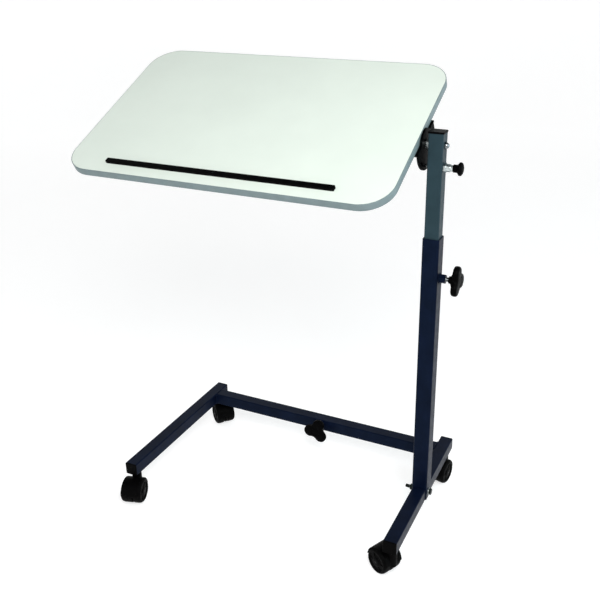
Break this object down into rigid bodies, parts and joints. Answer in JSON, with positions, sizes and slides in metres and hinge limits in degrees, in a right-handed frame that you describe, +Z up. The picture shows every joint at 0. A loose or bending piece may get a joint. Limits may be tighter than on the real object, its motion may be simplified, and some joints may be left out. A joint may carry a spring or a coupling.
{
  "type": "overbed table",
  "caption": "Height-adjustable overbed table: tilting rounded top with a book ledge on a side mast, quadrant tilt lock, clamp knobs and a wheeled U base.",
  "frame": {"origin": "on the floor, under the middle of the whole table's bounding box at rest", "axes": "+X towards the user's right, where the mast stands; +Y towards the rear, where the crossbar is; +Z up"},
  "size_m": [0.8076, 0.4532, 1.0057],
  "materials": {
    "laminate": "satin melamine laminate on chipboard",
    "edge_band": "satin plastic edging",
    "navy_paint": "satin epoxy powder coat",
    "grey_paint": "satin epoxy powder coat",
    "black_paint": "satin powder coat",
    "black_plastic": "fine moulded grain",
    "clamp_pad": "turned",
    "zinc": "zinc plated",
    "black_screw": "black oxide",
    "chrome": "polished",
    "spring_steel": "drawn wire",
    "caster_plastic": "moulded polyamide",
    "axle_steel": "ground",
    "caster_wheel": "moulded polyamide, smooth tread"
  },
  "bodies": {
    "base": {"right_leg": "navy_paint", "right_leg_caps": "black_plastic", "right_crossbar": "navy_paint", "mast_outer_tube": "navy_paint", "mast_foot_bolt": "black_screw", "mast_foot_nut": "black_screw", "mast_foot_washers": "zinc", "height_clamp_boss": "navy_paint", "crossbar_clamp_boss": "navy_paint", "right_caster_stems": "zinc", "right_caster_nuts": "zinc"},
    "left_base": {"left_leg": "navy_paint", "left_leg_caps": "black_plastic", "left_crossbar": "navy_paint", "crossbar_sleeve": "black_paint", "sleeve_rivets": "zinc", "left_caster_stems": "zinc", "left_caster_nuts": "zinc"},
    "mast": {"mast_inner_tube": "grey_paint", "mast_top_cap": "black_plastic", "mast_foot_glide": "black_plastic", "pivot_bolt": "zinc", "pivot_spacer": "zinc", "pivot_washer": "zinc", "pivot_dome_nut": "chrome", "plunger_barrel": "zinc", "plunger_spring": "spring_steel"},
    "tabletop": {"table_board": "laminate", "board_edge_band": "edge_band", "board_screws": "zinc", "stop_ledge": "black_plastic", "stop_ledge_screws": "black_screw", "support_beam": "black_paint", "support_beam_cap": "black_plastic", "support_straps": "black_paint", "tilt_quadrant": "black_paint"},
    "index_pin": {"plunger_pin": "chrome", "plunger_knob": "black_plastic"},
    "height_pad": {"height_clamp_pad": "clamp_pad"},
    "height_knob": {"height_clamp_stud": "chrome", "height_clamp_knob": "black_plastic"},
    "crossbar_pad": {"crossbar_clamp_pad": "clamp_pad"},
    "crossbar_knob": {"crossbar_clamp_stud": "chrome", "crossbar_clamp_knob": "black_plastic"},
    "front_left_caster": {"front_left_caster_hood": "caster_plastic", "front_left_caster_axle": "axle_steel"},
    "front_left_roller_a": {"front_left_wheel_a": "caster_wheel"},
    "front_left_roller_b": {"front_left_wheel_b": "caster_wheel"},
    "front_right_caster": {"front_right_caster_hood": "caster_plastic", "front_right_caster_axle": "axle_steel"},
    "front_right_roller_a": {"front_right_wheel_a": "caster_wheel"},
    "front_right_roller_b": {"front_right_wheel_b": "caster_wheel"},
    "rear_left_caster": {"rear_left_caster_hood": "caster_plastic", "rear_left_caster_axle": "axle_steel"},
    "rear_left_roller_a": {"rear_left_wheel_a": "caster_wheel"},
    "rear_left_roller_b": {"rear_left_wheel_b": "caster_wheel"},
    "rear_right_caster": {"rear_right_caster_hood": "caster_plastic", "rear_right_caster_axle": "axle_steel"},
    "rear_right_roller_a": {"rear_right_wheel_a": "caster_wheel"},
    "rear_right_roller_b": {"rear_right_wheel_b": "caster_wheel"}
  },
  "joints": [
    {"name": "base_width", "type": "slide", "parent": "base", "child": "left_base", "axis": [-1, 0, 0], "range_m": [0, 0.1]},
    {"name": "mast_height", "type": "slide", "parent": "base", "child": "mast", "axis": [0, 0, 1], "range_m": [-0.13, 0.16]},
    {"name": "table_tilt", "type": "hinge", "parent": "mast", "child": "tabletop", "pos_m": [0.34285, 0.0209, 0.88], "axis": [1, 0, 0], "range_deg": [-27.3, 40.95]},
    {"name": "index_pin_push", "type": "slide", "parent": "mast", "child": "index_pin", "axis": [-1, 0, 0], "range_m": [0, 0.0042]},
    {"name": "height_clamp_travel", "type": "slide", "parent": "base", "child": "height_pad", "axis": [1, 0, 0], "range_m": [0, 0.00301]},
    {"name": "height_knob_turn", "type": "hinge", "parent": "height_pad", "child": "height_knob", "pos_m": [0.36035, 0.0209, 0.608], "axis": [1, 0, 0], "range_deg": [0, 720]},
    {"name": "crossbar_clamp_travel", "type": "slide", "parent": "base", "child": "crossbar_pad", "axis": [0, -1, 0], "range_m": [0, 0.00301]},
    {"name": "crossbar_knob_turn", "type": "hinge", "parent": "crossbar_pad", "child": "crossbar_knob", "pos_m": [0.02235, 0.1641, 0.083], "axis": [0, -1, 0], "range_deg": [0, 720]},
    {"name": "front_left_swivel", "type": "hinge", "parent": "left_base", "child": "front_left_caster", "pos_m": [-0.31015, -0.1681, 0.063], "axis": [0, 0, 1], "continuous": true},
    {"name": "front_left_roll_a", "type": "hinge", "parent": "front_left_caster", "child": "front_left_roller_a", "pos_m": [-0.30373, -0.1905, 0.0285], "axis": [0.9613, 0.2756, 0], "continuous": true},
    {"name": "front_left_roll_b", "type": "hinge", "parent": "front_left_caster", "child": "front_left_roller_b", "pos_m": [-0.30373, -0.1905, 0.0285], "axis": [0.9613, 0.2756, 0], "continuous": true},
    {"name": "front_right_swivel", "type": "hinge", "parent": "base", "child": "front_right_caster", "pos_m": [0.34285, -0.1681, 0.063], "axis": [0, 0, 1], "continuous": true},
    {"name": "front_right_roll_a", "type": "hinge", "parent": "front_right_caster", "child": "front_right_roller_a", "pos_m": [0.32209, -0.15752, 0.0285], "axis": [-0.454, -0.891, 0], "continuous": true},
    {"name": "front_right_roll_b", "type": "hinge", "parent": "front_right_caster", "child": "front_right_roller_b", "pos_m": [0.32209, -0.15752, 0.0285], "axis": [-0.454, -0.891, 0], "continuous": true},
    {"name": "rear_left_swivel", "type": "hinge", "parent": "left_base", "child": "rear_left_caster", "pos_m": [-0.31015, 0.2039, 0.063], "axis": [0, 0, 1], "continuous": true},
    {"name": "rear_left_roll_a", "type": "hinge", "parent": "rear_left_caster", "child": "rear_left_roller_a", "pos_m": [-0.29204, 0.18924, 0.0285], "axis": [0.6293, 0.7771, 0], "continuous": true},
    {"name": "rear_left_roll_b", "type": "hinge", "parent": "rear_left_caster", "child": "rear_left_roller_b", "pos_m": [-0.29204, 0.18924, 0.0285], "axis": [0.6293, 0.7771, 0], "continuous": true},
    {"name": "rear_right_swivel", "type": "hinge", "parent": "base", "child": "rear_right_caster", "pos_m": [0.34285, 0.2039, 0.063], "axis": [0, 0, 1], "continuous": true},
    {"name": "rear_right_roll_a", "type": "hinge", "parent": "rear_right_caster", "child": "rear_right_roller_a", "pos_m": [0.3388, 0.18095, 0.0285], "axis": [0.9848, -0.1736, 0], "continuous": true},
    {"name": "rear_right_roll_b", "type": "hinge", "parent": "rear_right_caster", "child": "rear_right_roller_b", "pos_m": [0.3388, 0.18095, 0.0285], "axis": [0.9848, -0.1736, 0], "continuous": true}
  ],
  "couplings": [
    {"joint": "height_clamp_travel", "follows": "height_knob_turn", "m_per_rad": 0.00023873},
    {"joint": "crossbar_clamp_travel", "follows": "crossbar_knob_turn", "m_per_rad": 0.00023873}
  ]
}
